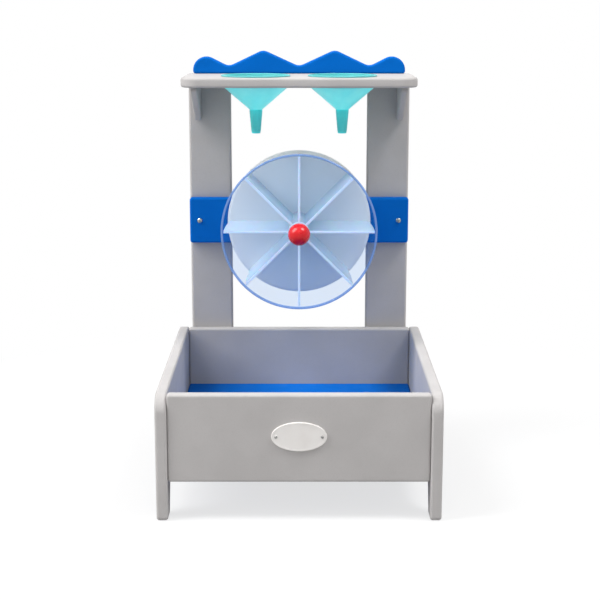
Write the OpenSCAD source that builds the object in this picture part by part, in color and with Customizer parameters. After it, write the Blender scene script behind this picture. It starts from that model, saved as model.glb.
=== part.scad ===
// Sand wheel toy: a tray on four feet, a frame with a shelf and two funnels,
// and a wheel with eight vanes on an axle through the crossbar.
// Millimetres. The origin is on the ground under the middle of the tray.
// X runs to the right, Y to the back and Z up. The front faces -Y.

/* [Boards] */
// Thickness of the tray, frame and crest boards
board_t = 18; // [14:1:24]
// Thickness of the shelf board
shelf_t = 16.5; // [12:0.5:24]
// Thickness of the two brackets under the shelf
bracket_t = 12; // [9:0.5:16]
// Radius of the rounded board edges
edge_r = 4; // [1:0.5:5]

/* [Tray] */
// Width over the two side panels
tray_w = 440; // [400:5:520]
// Depth of the side panels
tray_d = 486; // [440:2:560]
// Height of the side panels above the ground
side_h = 200.5; // [160:0.5:240]
// Radius of the side panels' upper corners
side_corner_r = 29; // [10:1:50]
// Height of the front and back panels' lower edge above the ground
panel_lift = 61; // [56:1:75]
// Step from the side panels' edges back to the front panel and the uprights
panel_reveal = 5; // [1:0.5:10]
// Step from the panels' lower edge up to the floor's underside
floor_rise = 18; // [12:0.5:40]

/* [Feet] */
// Length of each foot along the ground
foot_l = 34; // [24:1:50]
// How far each leg widens towards the top of the opening between the legs
leg_splay = 28; // [0:1:50]
// Height of the opening between the legs
leg_gap_h = 73; // [50:1:75]
// Radius of that opening's upper corners
leg_gap_r = 28; // [10:1:40]
// Radius of the feet's corners
foot_r = 6; // [5:1:12]

/* [Frame] */
// Width of each upright
upright_w = 75; // [60:1:100]
// Gap between an upright and the side panel beside it
upright_gap = 5.5; // [0:0.5:8]
// Height of the crossbar
crossbar_h = 82; // [60:1:110]
// Depth of the brackets along the shelf
bracket_d = 110; // [70:1:125]
// Height of the brackets down the uprights
bracket_h = 65; // [50:1:90]
// Blunt end of the brackets at the tip and at the foot
bracket_nose = 10; // [8:0.5:16]
// Step from an upright's outer edge in to the bracket
bracket_inset = 11; // [3:0.5:20]

/* [Shelf and crest] */
// How far the shelf reaches past each upright
shelf_overhang = 3; // [0:0.5:15]
// Shelf left between the funnels' rims and its front edge
shelf_margin = 7; // [3:0.5:30]
// Radius of the shelf's front corners
shelf_front_r = 30; // [10:1:50]
// Radius of the shelf's rear corners
shelf_rear_r = 12; // [6:1:20]
// Width of the crest
crest_w = 376; // [360:1:392]
// Height of the crest's two peaks
crest_h = 39.5; // [30:0.5:44]

/* [Wheel] */
// Radius of the clear front disc
wheel_r = 133.5; // [110:0.5:150]
// Radius of the back disc
back_disc_r = 127.5; // [105:0.5:145]
// Depth of the wheel over both discs
wheel_w = 127; // [80:1:145]
// Thickness of the front disc's web
front_disc_t = 4; // [3:0.5:8]
// Thickness of the front disc's rounded rim
rim_bead_t = 6; // [4:0.5:10]
// Thickness of the back disc
back_disc_t = 5; // [3:0.5:8]
// Outer radius of the hub
hub_r = 18; // [15:0.5:30]
// Number of vanes
vane_count = 8; // [6:1:12]
// Thickness of a vane
vane_t = 4; // [2:0.5:6]
// Step from the back disc's edge in to the vanes
vane_back_inset = 6; // [2:0.5:20]
// Step from the front disc's edge in to the vanes
vane_front_inset = 4.5; // [3:0.5:15]
// Gap between the tray's top and the wheel
tray_to_wheel = 66; // [20:0.5:120]

/* [Axle] */
// Diameter of the axle rod
axle_d = 10; // [8:0.5:12]
// Radial running clearance between axle and bushes
running_clearance = 0.07; // [0.02:0.01:0.1]
// Wall of the bushes
bush_wall = 4; // [2:0.5:5]
// Length of a bush under its flange
bush_l = 20; // [12:1:40]
// Width of a bush's flange
bush_flange_w = 3; // [2:0.5:5]
// Thickness of a bush's flange
bush_flange_t = 1.5; // [1:0.5:3]
// Thickness of the thrust washers
thrust_t = 1.2; // [0.8:0.1:2]
// Play along the axle at each end of the wheel
end_play = 0.3; // [0.2:0.1:1]
// Length of the spacer tube
spacer_l = 6; // [3:0.5:20]
// Wall of the spacer tube
spacer_wall = 5; // [2:0.5:6]
// Diameter of the ball knob
ball_d = 37.5; // [28:0.5:50]
// Diameter of the flat behind the ball
ball_flat_d = 16; // [12:1:24]
// Depth of the axle's seat in the ball
ball_seat = 20; // [10:1:24]
// Thickness of the washer under the lock nut
rear_washer_t = 1.6; // [1:0.1:3]
// Lock nut's width across flats
nut_af = 17; // [15:1:19]
// Height of the lock nut
nut_h = 10; // [6:1:14]

/* [Funnels] */
// Distance of each funnel from the middle
funnel_x = 74; // [65:1:100]
// Diameter of a funnel's rim
rim_d = 118; // [116:1:130]
// Thickness of a funnel's rim
rim_t = 2.2; // [1.5:0.1:4]
// Outer diameter of a funnel's bowl
bowl_d = 112; // [90:1:114]
// How far the straight bowl reaches below the shelf
bowl_drop = 1; // [0:0.5:10]
// Height of the cone
cone_h = 38; // [25:0.5:60]
// Outer diameter of the stem at the neck
neck_d = 23.5; // [18:0.5:32]
// Outer diameter of the stem at its tip
tip_d = 15; // [12:0.5:18]
// Length of the stem
stem_l = 41.5; // [25:0.5:60]
// Wall of the funnels
funnel_wall = 2.4; // [1.5:0.1:3]
// Gap between the stem's tip and the wheel
stem_gap = 29.5; // [10:0.5:80]

/* [Oval plate] */
// Width of the oval plate
plate_w = 85.5; // [60:0.5:120]
// Height of the oval plate
plate_h = 46; // [30:1:60]
// Thickness of the oval plate
plate_t = 3; // [2:0.5:5]
// Height of the plate's middle above the middle of the front panel
plate_rise = 4; // [0:0.5:15]
// Step from the plate's tips in to its screws
plate_screw_inset = 7.2; // [5:0.1:12]

/* [Screws] */
// Diameter of the frame screws
screw_d = 5; // [4:0.5:6]
// Diameter of their heads
screw_head_d = 9.4; // [7:0.2:12]
// Height of their heads
screw_head_h = 3; // [2:0.2:4]
// Bite of the long screws in the second board
screw_bite = 27; // [18:1:32]
// Wood left past the tip of a screw through two boards
screw_tip_cover = 4; // [2:0.5:8]
// Diameter of the plate screws
small_screw_d = 3; // [2:0.5:4]
// Diameter of the plate screws' heads
small_head_d = 5; // [4:0.2:7]
// Height of the plate screws' heads
small_head_h = 1.4; // [1:0.1:2]
// Bite of the plate screws in the front panel
small_bite = 11; // [8:0.5:12]

/* [Fits] */
// Radial clearance of screws, nuts and pressed bushes in their holes
fit_clearance = 0.05; // [0.02:0.01:0.1]
// Gap under a funnel's rim
rim_gap = 0.3; // [0.2:0.1:0.5]
// Radial gap round a funnel's bowl in the shelf
bowl_gap = 0.6; // [0.4:0.1:1.5]

/* [Hidden] */
// Extra length of every cut past the faces it opens
overrun = screw_d / 5;
// Largest share of a board's thickness that its rounded edge may take
edge_max_share = 0.4;
// Smallest outline corner, as a share of the edge radius
corner_min_share = 1.15;
// Flats in a rounded edge, and the turn of one flat in an outline's arcs
edge_steps = 3;
arc_turn = 9;
small_arc_turn = 22.5;
// Flats in a vane's bent edge and round the oval plate
vane_edge_steps = 8;
plate_flats = 48;
// Fineness of the round parts
$fn = 96;

// Planes of the tray, from front to back
side_front_y = -tray_d / 2;
side_back_y = tray_d / 2;
panel_front_y = side_front_y + panel_reveal;
frame_back_y = side_back_y - panel_reveal;
upright_y = frame_back_y - board_t;
crossbar_y = upright_y - board_t;
tray_in_w = tray_w - 2 * board_t;
tray_floor_z = panel_lift + floor_rise;
panel_h = side_h - panel_lift;

// The wheel and its axle
axle_r = axle_d / 2;
bush_r = axle_r + running_clearance + bush_wall;
flange_r = bush_r + bush_flange_w;
axle_z = side_h + tray_to_wheel + wheel_r;
wheel_back_y = crossbar_y - spacer_l - thrust_t - end_play - bush_flange_t;
wheel_front_y = wheel_back_y - wheel_w;
thrust_front_y = wheel_front_y - bush_flange_t - end_play - thrust_t;
ball_flat_depth = sqrt(pow(ball_d / 2, 2) - pow(ball_flat_d / 2, 2));
ball_y = thrust_front_y - ball_flat_depth;
axle_tail_share = 0.25;
axle_tail = nut_h * axle_tail_share;
nut_y = upright_y + rear_washer_t;
vane_front_y = wheel_front_y + front_disc_t;
vane_back_y = wheel_back_y - back_disc_t;
vane_back_r = back_disc_r - vane_back_inset;
vane_front_r = wheel_r - vane_front_inset;

// The shelf, the funnels and the frame
funnel_y = (wheel_front_y + wheel_back_y) / 2;
tip_z = axle_z + wheel_r + stem_gap;
neck_z = tip_z + stem_l;
cone_top_z = neck_z + cone_h;
shelf_z = cone_top_z + bowl_drop;
shelf_top_z = shelf_z + shelf_t;
shelf_front_y = funnel_y - rim_d / 2 - shelf_margin;
frame_w = tray_in_w - 2 * upright_gap;
shelf_w = frame_w + 2 * shelf_overhang;
upright_mid_x = frame_w / 2 - upright_w / 2;
bracket_x = frame_w / 2 - bracket_inset - bracket_t;
bracket_mid_x = bracket_x + bracket_t / 2;

// Crest outline: places along its half width and heights against its peaks
crest_peak_x_share = 0.338;
crest_valley_x_share = 0.664;
crest_peak_z_share = 1.052;
crest_valley_z_share = 0.318;
crest_end_z_share = 1.123;
crest_wave_r_share = 0.458;
crest_end_r_share = 0.593;

// Heights of the tray screws, as shares of the front panel's height
tray_screw_shares = [0.25, 0.8];
// Places of the floor screws, as shares of the side panels' depth
floor_screw_shares = [-0.28, 0.28];
// Heights of the bracket screws below the shelf, as shares of the bracket
bracket_screw_shares = [0.25, 0.62];
// Places of the shelf screws across an upright, as shares of its width
shelf_screw_shares = [-0.25, 0.1];
// Bite of the crest screws, as a share of the crest's height
crest_bite_share = 0.5;

grey = "#A8A8A9";
blue = "#0A5FB8";
turquoise = "#63D8DE";
clear_blue = "#A9CBEA";
warm_white = "#D6D3D0";
red = "#E2202B";
steel = "#9AA0A6";
nylon = "#E6E2D8";

// Outlines are lists of [x, y, corner radius], anticlockwise.
// Each corner becomes an arc about its own centre, so an inset only changes its radius.
function direction(from, to) = (to - from) / norm(to - from);
function turn_of(a, b) = acos(max(-1, min(1, a * b)));
function is_convex(a, b) = a.x * b.y - a.y * b.x > 0;

function corner_arc(before, corner, after, r, inset) =
    let(a = direction(before, corner))
    let(b = direction(corner, after))
    let(turn = turn_of(a, b))
    let(side = is_convex(a, b) ? 1 : -1)
    let(start_normal = [a.y, -a.x] * side)
    let(centre = corner - a * r * tan(turn / 2) - start_normal * r)
    let(steps = max(2, ceil(turn / (r > 2 * edge_r ? arc_turn : small_arc_turn))))
    let(first = atan2(start_normal.y, start_normal.x))
    [for (i = [0 : steps])
        let(angle = first + side * turn * i / steps)
        centre + (r - side * inset) * [cos(angle), sin(angle)]];

function point_of(path, i) = let(p = path[(i + len(path)) % len(path)]) [p.x, p.y];

function outline(path, inset, min_r) = [
    for (i = [0 : len(path) - 1])
        each corner_arc(
            point_of(path, i - 1), point_of(path, i), point_of(path, i + 1),
            max(path[i].z, min_r), inset
        )
];

function edge_of(t) = min(edge_r, t * edge_max_share);

// [inset, height] of each ring of a rounded edge, from one face of a board to the other
function edge_levels(edge, t) =
    let(low = [
        for (i = [0 : edge_steps])
            let(angle = 90 * i / edge_steps)
            [edge * (1 - sin(angle)), edge * (1 - cos(angle))]
    ])
    concat(low, [for (i = [edge_steps : -1 : 0]) [low[i][0], t - low[i][1]]]);

// Which side of the line from a to b the point c is on: positive on its left
function side_of(a, b, c) = (b.x - a.x) * (c.y - a.y) - (b.y - a.y) * (c.x - a.x);
function in_triangle(p, a, b, c) = side_of(a, b, p) >= 0 && side_of(b, c, p) >= 0 && side_of(c, a, p) >= 0;

// The corner k of what is left of a ring, with its two neighbours
function corner_at(left, k) = let(n = len(left)) [left[(k + n - 1) % n], left[k], left[(k + 1) % n]];

// A corner can be cut off if it points outwards and no other point lies in its triangle
function is_ear(ring, left, k) =
    let(at = corner_at(left, k))
    let(a = ring[at[0]], b = ring[at[1]], c = ring[at[2]])
    side_of(a, b, c) > 0
    && len([for (i = left) if (i != at[0] && i != at[1] && i != at[2] && in_triangle(ring[i], a, b, c)) i]) == 0;

function first_ear(ring, left, k = 0) = is_ear(ring, left, k) ? k : first_ear(ring, left, k + 1);

// Triangles that fill an outline, which may have hollows, by cutting off one corner after another
function filling(ring, left) =
    len(left) == 3
        ? [left]
        : let(k = first_ear(ring, left))
            concat([corner_at(left, k)], filling(ring, [for (i = [0 : len(left) - 1]) if (i != k) left[i]]));

// A closed skin over an outline that is inset by a different amount at each level
module skin(path, levels, min_r) {
    rings = [for (level = levels) outline(path, level[0], min_r)];
    n = len(rings[0]);
    points = [for (k = [0 : len(levels) - 1]) for (p = rings[k]) [p.x, p.y, levels[k][1]]];
    walls = [
        for (k = [0 : len(levels) - 2])
            for (i = [0 : n - 1])
                let(j = (i + 1) % n)
                [k * n + i, (k + 1) * n + i, (k + 1) * n + j, k * n + j]
    ];
    bottom = filling(rings[0], [for (i = [0 : n - 1]) i]);
    above = (len(levels) - 1) * n;
    top = [for (face = bottom) [above + face[2], above + face[1], above + face[0]]];
    polyhedron(points, concat(bottom, walls, top), convexity = 6);
}

// A flat board with its edges rounded on both faces, lying on z = 0
module rounded_board(path, t) {
    edge = edge_of(t);
    skin(path, edge_levels(edge, t), edge * corner_min_share);
}

// What cuts an opening with rounded edges out of such a board
module rounded_opening(path, t) {
    edge = edge_of(t);
    through = [for (level = edge_levels(edge, t)) [-level[0], level[1]]];
    levels = concat([[-edge, -overrun]], through, [[-edge, t + overrun]]);
    skin(path, levels, edge * corner_min_share);
}

// The same board standing up and facing along Y, with its front face at y
module board_facing_y(path, y, t) {
    translate([0, y + t, 0])
        rotate([90, 0, 0])
            rounded_board(path, t);
}

// Stands what lies flat up to face along X, with its left face at x
module facing_x(x) {
    translate([x, 0, 0])
        rotate([90, 0, 90])
            children();
}

function box_path(x0, y0, x1, y1) = [[x0, y0, 0], [x1, y0, 0], [x1, y1, 0], [x0, y1, 0]];

// A screw along -Z with a domed head that starts at z = 0
module round_head_screw(d, head_d, head_h, length) {
    dome_r = (pow(head_d / 2, 2) + pow(head_h, 2)) / (2 * head_h);
    intersection() {
        translate([0, 0, head_h - dome_r])
            sphere(r = dome_r);
        cylinder(h = head_h, r = head_d / 2);
    }
    translate([0, 0, -length])
        cylinder(h = length, r = d / 2);
}

// A screw along -Z with a countersunk head flush with z = 0
module flat_head_screw(d, head_d, head_h, length) {
    translate([0, 0, -head_h])
        cylinder(h = head_h, r1 = d / 2, r2 = head_d / 2);
    translate([0, 0, -length])
        cylinder(h = length - head_h, r = d / 2);
}

// The hole that such a screw needs; its depth ends just past the screw's tip
module screw_hole(length, d = screw_d) {
    translate([0, 0, -length - fit_clearance])
        cylinder(h = length + fit_clearance + overrun, r = d / 2 + fit_clearance);
}

module countersunk_hole(length) {
    screw_hole(length);
    translate([0, 0, -screw_head_h])
        cylinder(
            h = screw_head_h + fit_clearance,
            r1 = screw_d / 2 + fit_clearance,
            r2 = screw_head_d / 2 + fit_clearance
        );
}

// Where each group of screws sits; the children lie along -Z from the head's seat
module at_side_screws(side) {
    for (share = tray_screw_shares, y = [panel_front_y + board_t / 2, crossbar_y + board_t / 2])
        translate([side * tray_w / 2, y, panel_lift + share * panel_h])
            rotate([0, side * 90, 0])
                children();
    for (share = floor_screw_shares)
        translate([side * tray_w / 2, share * tray_d, tray_floor_z + board_t / 2])
            rotate([0, side * 90, 0])
                children();
}

module at_upright_screws() {
    for (side = [-1, 1], share = tray_screw_shares)
        translate([side * upright_mid_x, frame_back_y, panel_lift + share * panel_h])
            rotate([-90, 0, 0])
                children();
}

module at_bracket_screws() {
    for (side = [-1, 1], share = bracket_screw_shares)
        translate([side * bracket_mid_x, frame_back_y, shelf_z - share * bracket_h])
            rotate([-90, 0, 0])
                children();
}

module at_shelf_screws() {
    for (side = [-1, 1], share = shelf_screw_shares)
        translate([side * (upright_mid_x + share * upright_w), upright_y + board_t / 2, shelf_top_z])
            children();
}

module at_crest_screws() {
    for (side = [-1, 1])
        translate([side * crest_peak_x_share * crest_w / 2, upright_y + board_t / 2, shelf_z])
            rotate([180, 0, 0])
                children();
}

module at_crossbar_screws() {
    for (side = [-1, 1])
        translate([side * (frame_w / 2 - board_t), crossbar_y, axle_z])
            rotate([90, 0, 0])
                children();
}

module at_plate_screws() {
    for (side = [-1, 1])
        translate([
            side * (plate_w / 2 - plate_screw_inset),
            panel_front_y - plate_t,
            panel_lift + panel_h / 2 + plate_rise
        ])
            rotate([90, 0, 0])
                children();
}

two_board_screw_l = 2 * board_t - screw_tip_cover;
edge_screw_l = board_t + screw_bite;
shelf_screw_l = shelf_t + screw_bite;
crest_screw_l = shelf_t + crest_bite_share * crest_h;
plate_screw_l = plate_t + small_bite;

// A cylinder along Y from y to y + length about the wheel's axle
module along_axle(y, length, r) {
    translate([0, y, axle_z])
        rotate([-90, 0, 0])
            cylinder(h = length, r = r);
}

module axle_bore(y, length, clearance) {
    along_axle(y - overrun, length + 2 * overrun, axle_r + clearance);
}

function side_path() = [
    [side_front_y, 0, foot_r],
    [side_back_y, 0, foot_r],
    [side_back_y, side_h, side_corner_r],
    [side_front_y, side_h, side_corner_r]
];

// The opening between the legs; its straight sides run on below the ground
function leg_gap_path() =
    let(low = foot_l + leg_splay - leg_splay * (leg_gap_h + board_t) / leg_gap_h)
    let(high = foot_l + leg_splay)
    [
        [side_front_y + low, -board_t, 0],
        [side_back_y - low, -board_t, 0],
        [side_back_y - high, leg_gap_h, leg_gap_r],
        [side_front_y + high, leg_gap_h, leg_gap_r]
    ];

module side_panel(side) {
    color(grey)
        difference() {
            facing_x(side > 0 ? tray_w / 2 - board_t : -tray_w / 2)
                difference() {
                    rounded_board(side_path(), board_t);
                    rounded_opening(leg_gap_path(), board_t);
                }
            at_side_screws(side)
                countersunk_hole(edge_screw_l);
        }
}

module side_panel_left() {
    side_panel(-1);
}

module side_panel_right() {
    side_panel(1);
}

function panel_path() = box_path(-tray_in_w / 2, panel_lift, tray_in_w / 2, side_h);

module front_panel() {
    color(grey)
        difference() {
            board_facing_y(panel_path(), panel_front_y, board_t);
            for (side = [-1, 1])
                at_side_screws(side)
                    screw_hole(edge_screw_l);
            at_plate_screws()
                screw_hole(plate_screw_l, small_screw_d);
        }
}

module back_panel() {
    color(grey)
        difference() {
            board_facing_y(panel_path(), crossbar_y, board_t);
            for (side = [-1, 1])
                at_side_screws(side)
                    screw_hole(edge_screw_l);
            at_upright_screws()
                screw_hole(two_board_screw_l);
        }
}

module tray_floor() {
    color(blue)
        difference() {
            translate([0, 0, tray_floor_z])
                rounded_board(
                    box_path(-tray_in_w / 2, panel_front_y + board_t, tray_in_w / 2, crossbar_y),
                    board_t
                );
            for (side = [-1, 1])
                at_side_screws(side)
                    screw_hole(edge_screw_l);
        }
}

module upright(side) {
    inner = upright_mid_x - upright_w / 2;
    outer = upright_mid_x + upright_w / 2;
    low = side > 0 ? inner : -outer;
    high = side > 0 ? outer : -inner;
    color(grey)
        difference() {
            board_facing_y(box_path(low, panel_lift, high, shelf_z), upright_y, board_t);
            at_upright_screws()
                screw_hole(two_board_screw_l);
            at_bracket_screws()
                screw_hole(edge_screw_l);
            at_shelf_screws()
                screw_hole(shelf_screw_l);
            at_crossbar_screws()
                screw_hole(two_board_screw_l);
        }
}

module upright_left() {
    upright(-1);
}

module upright_right() {
    upright(1);
}

module crossbar() {
    low = axle_z - crossbar_h / 2;
    high = axle_z + crossbar_h / 2;
    color(blue)
        difference() {
            board_facing_y(box_path(-frame_w / 2, low, frame_w / 2, high), crossbar_y, board_t);
            axle_bore(crossbar_y, board_t, fit_clearance);
            at_crossbar_screws()
                screw_hole(two_board_screw_l);
        }
}

function shelf_path() = [
    [-shelf_w / 2, shelf_front_y, shelf_front_r],
    [shelf_w / 2, shelf_front_y, shelf_front_r],
    [shelf_w / 2, frame_back_y, shelf_rear_r],
    [-shelf_w / 2, frame_back_y, shelf_rear_r]
];

module shelf() {
    color(grey)
        difference() {
            translate([0, 0, shelf_z])
                rounded_board(shelf_path(), shelf_t);
            for (side = [-1, 1])
                translate([side * funnel_x, funnel_y, shelf_z - overrun])
                    cylinder(h = shelf_t + 2 * overrun, r = bowl_d / 2 + bowl_gap);
            at_shelf_screws()
                countersunk_hole(shelf_screw_l);
            at_crest_screws()
                screw_hole(crest_screw_l);
        }
}

function bracket_path() = [
    [upright_y - bracket_d, shelf_z - bracket_nose, 0],
    [upright_y - bracket_nose, shelf_z - bracket_h, 0],
    [upright_y, shelf_z - bracket_h, 0],
    [upright_y, shelf_z, 0],
    [upright_y - bracket_d, shelf_z, 0]
];

module bracket(side) {
    color(grey)
        difference() {
            facing_x(side > 0 ? bracket_x : -bracket_x - bracket_t)
                rounded_board(bracket_path(), bracket_t);
            at_bracket_screws()
                screw_hole(edge_screw_l);
        }
}

module bracket_left() {
    bracket(-1);
}

module bracket_right() {
    bracket(1);
}

// Right half of the crest's top line, from the end to the middle valley
function crest_half() =
    let(half = crest_w / 2)
    let(wave_r = crest_wave_r_share * crest_h)
    [
        [half, crest_end_z_share * crest_h, crest_end_r_share * crest_h],
        [crest_valley_x_share * half, crest_valley_z_share * crest_h, wave_r],
        [crest_peak_x_share * half, crest_peak_z_share * crest_h, wave_r]
    ];

function crest_path() =
    let(right = crest_half())
    let(middle = [0, crest_valley_z_share * crest_h, crest_wave_r_share * crest_h])
    let(left = [for (i = [len(right) - 1 : -1 : 0]) [-right[i].x, right[i].y, right[i].z]])
    concat([[-crest_w / 2, 0, 0], [crest_w / 2, 0, 0]], right, [middle], left);

module crest() {
    color(blue)
        difference() {
            translate([0, 0, shelf_top_z])
                board_facing_y(crest_path(), upright_y, board_t);
            at_crest_screws()
                screw_hole(crest_screw_l);
        }
}

// Half section of a funnel, from the rim's top down to the tip and back up inside
function funnel_section() =
    let(bowl_r = bowl_d / 2)
    let(neck_r = neck_d / 2)
    let(tip_r = tip_d / 2)
    let(rim_z = shelf_top_z + rim_gap)
    [
        [rim_d / 2, rim_z],
        [rim_d / 2, rim_z + rim_t],
        [bowl_r - funnel_wall, rim_z + rim_t],
        [bowl_r - funnel_wall, cone_top_z],
        [neck_r - funnel_wall, neck_z],
        [tip_r - funnel_wall, tip_z],
        [tip_r, tip_z],
        [neck_r, neck_z],
        [bowl_r, cone_top_z],
        [bowl_r, rim_z]
    ];

module funnel(side) {
    color(turquoise)
        translate([side * funnel_x, funnel_y, 0])
            rotate_extrude()
                polygon(funnel_section());
}

module funnel_left() {
    funnel(-1);
}

module funnel_right() {
    funnel(1);
}

module wheel_back_disc() {
    color(warm_white)
        difference() {
            along_axle(vane_back_y, back_disc_t, back_disc_r);
            along_axle(vane_back_y - overrun, back_disc_t + 2 * overrun, bush_r + fit_clearance);
        }
}

// A vane's outer edge bends outwards from the back disc to the front disc
function vane_edge_r(share) = vane_back_r + (vane_front_r - vane_back_r) * (1 - pow(1 - share, 3));

function vane_section() =
    let(root = (hub_r + bush_r) / 2)
    let(depth = vane_back_y - vane_front_y)
    concat(
        [[root, vane_front_y], [root, vane_back_y]],
        [
            for (i = [0 : vane_edge_steps])
                let(share = i / vane_edge_steps)
                [vane_edge_r(share), vane_back_y - depth * share]
        ]
    );

module wheel_vanes() {
    length = vane_back_y - vane_front_y;
    color(clear_blue)
        difference() {
            union() {
                along_axle(vane_front_y, length, hub_r);
                for (i = [0 : vane_count - 1])
                    translate([0, 0, axle_z])
                        rotate([0, 360 * i / vane_count, 0])
                            translate([0, 0, -vane_t / 2])
                                linear_extrude(vane_t)
                                    polygon(vane_section());
            }
            along_axle(vane_front_y - overrun, length + 2 * overrun, bush_r + fit_clearance);
        }
}

module wheel_front_disc() {
    bead_r = rim_bead_t / 2;
    color(clear_blue)
        difference() {
            union() {
                along_axle(wheel_front_y, front_disc_t, wheel_r - bead_r);
                translate([0, wheel_front_y + front_disc_t - bead_r, axle_z])
                    rotate([90, 0, 0])
                        rotate_extrude()
                            translate([wheel_r - bead_r, 0])
                                circle(r = bead_r, $fn = 32);
            }
            along_axle(
                wheel_front_y - overrun, front_disc_t + 2 * overrun, bush_r + fit_clearance
            );
        }
}

module bush(front) {
    sleeve_y = front ? wheel_front_y : wheel_back_y - bush_l;
    flange_y = front ? wheel_front_y - bush_flange_t : wheel_back_y;
    color(nylon)
        difference() {
            union() {
                along_axle(sleeve_y, bush_l, bush_r);
                along_axle(flange_y, bush_flange_t, flange_r);
            }
            axle_bore(min(sleeve_y, flange_y), bush_l + bush_flange_t, running_clearance);
        }
}

module bush_front() {
    bush(true);
}

module bush_rear() {
    bush(false);
}

module axle() {
    front = thrust_front_y - ball_seat + fit_clearance;
    color(steel)
        along_axle(front, nut_y + nut_h + axle_tail - front, axle_r);
}

module ball_knob() {
    color(red)
        difference() {
            translate([0, ball_y, axle_z])
                rotate([90, 0, 0])
                    sphere(d = ball_d);
            along_axle(thrust_front_y, ball_d, ball_d);
            along_axle(thrust_front_y - ball_seat, ball_seat + overrun, axle_r + fit_clearance);
        }
}

module axle_ring(y, t, r) {
    difference() {
        along_axle(y, t, r);
        axle_bore(y, t, fit_clearance);
    }
}

module thrust_washer_front() {
    color(steel)
        axle_ring(thrust_front_y, thrust_t, flange_r);
}

module thrust_washer_rear() {
    color(steel)
        axle_ring(crossbar_y - spacer_l - thrust_t, thrust_t, flange_r);
}

module spacer_tube() {
    color(nylon)
        axle_ring(crossbar_y - spacer_l, spacer_l, axle_r + spacer_wall);
}

module rear_washer() {
    color(steel)
        axle_ring(upright_y, rear_washer_t, flange_r);
}

module lock_nut() {
    color(steel)
        difference() {
            translate([0, nut_y, axle_z])
                rotate([-90, 0, 0])
                    cylinder(h = nut_h, d = nut_af / cos(30), $fn = 6);
            axle_bore(nut_y, nut_h, fit_clearance);
        }
}

module oval_plate() {
    height_share = plate_h / plate_w;
    color(warm_white)
        difference() {
            translate([0, panel_front_y, panel_lift + panel_h / 2 + plate_rise])
                rotate([90, 0, 0])
                    linear_extrude(plate_t)
                        polygon([
                            for (i = [0 : plate_flats - 1])
                                let(angle = 360 * i / plate_flats)
                                plate_w / 2 * [cos(angle), height_share * sin(angle)]
                        ]);
            at_plate_screws()
                screw_hole(plate_screw_l, small_screw_d);
        }
}

module plate_screws() {
    color(steel)
        at_plate_screws()
            round_head_screw(small_screw_d, small_head_d, small_head_h, plate_screw_l);
}

module crossbar_screws() {
    color(steel)
        at_crossbar_screws()
            round_head_screw(screw_d, screw_head_d, screw_head_h, two_board_screw_l);
}

module side_screws_left() {
    color(steel)
        at_side_screws(-1)
            flat_head_screw(screw_d, screw_head_d, screw_head_h, edge_screw_l);
}

module side_screws_right() {
    color(steel)
        at_side_screws(1)
            flat_head_screw(screw_d, screw_head_d, screw_head_h, edge_screw_l);
}

module upright_screws() {
    color(steel)
        at_upright_screws()
            round_head_screw(screw_d, screw_head_d, screw_head_h, two_board_screw_l);
}

module bracket_screws() {
    color(steel)
        at_bracket_screws()
            round_head_screw(screw_d, screw_head_d, screw_head_h, edge_screw_l);
}

module shelf_screws() {
    color(steel)
        at_shelf_screws()
            flat_head_screw(screw_d, screw_head_d, screw_head_h, shelf_screw_l);
}

module crest_screws() {
    color(steel)
        at_crest_screws()
            round_head_screw(screw_d, screw_head_d, screw_head_h, crest_screw_l);
}

side_panel_left();
side_panel_right();
front_panel();
back_panel();
tray_floor();
upright_left();
upright_right();
crossbar();
shelf();
bracket_left();
bracket_right();
crest();
funnel_left();
funnel_right();
wheel_back_disc();
wheel_vanes();
wheel_front_disc();
bush_front();
bush_rear();
axle();
ball_knob();
spacer_tube();
thrust_washer_front();
thrust_washer_rear();
rear_washer();
lock_nut();
oval_plate();
plate_screws();
crossbar_screws();
side_screws_left();
side_screws_right();
upright_screws();
bracket_screws();
shelf_screws();
crest_screws();
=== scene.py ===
"""The looks of a sand wheel toy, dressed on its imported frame.

Blender's lengths are metres. Sizes are written in millimetres here, and MM turns them to metres.
"""
import math

import bmesh
import bpy
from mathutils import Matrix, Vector


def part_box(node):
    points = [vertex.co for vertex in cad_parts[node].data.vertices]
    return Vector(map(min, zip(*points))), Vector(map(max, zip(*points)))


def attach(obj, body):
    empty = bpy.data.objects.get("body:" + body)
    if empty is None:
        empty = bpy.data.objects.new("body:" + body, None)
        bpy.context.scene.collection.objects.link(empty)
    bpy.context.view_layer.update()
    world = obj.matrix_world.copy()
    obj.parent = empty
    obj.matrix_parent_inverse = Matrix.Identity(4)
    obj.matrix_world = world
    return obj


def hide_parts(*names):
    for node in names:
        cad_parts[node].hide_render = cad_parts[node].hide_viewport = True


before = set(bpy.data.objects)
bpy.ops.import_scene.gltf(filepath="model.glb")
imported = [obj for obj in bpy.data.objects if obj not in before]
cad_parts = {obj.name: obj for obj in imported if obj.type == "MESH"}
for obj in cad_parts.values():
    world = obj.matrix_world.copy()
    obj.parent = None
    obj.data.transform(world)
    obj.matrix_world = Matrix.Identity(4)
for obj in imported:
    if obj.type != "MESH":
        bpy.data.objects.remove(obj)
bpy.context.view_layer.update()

MM = 0.001

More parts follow.
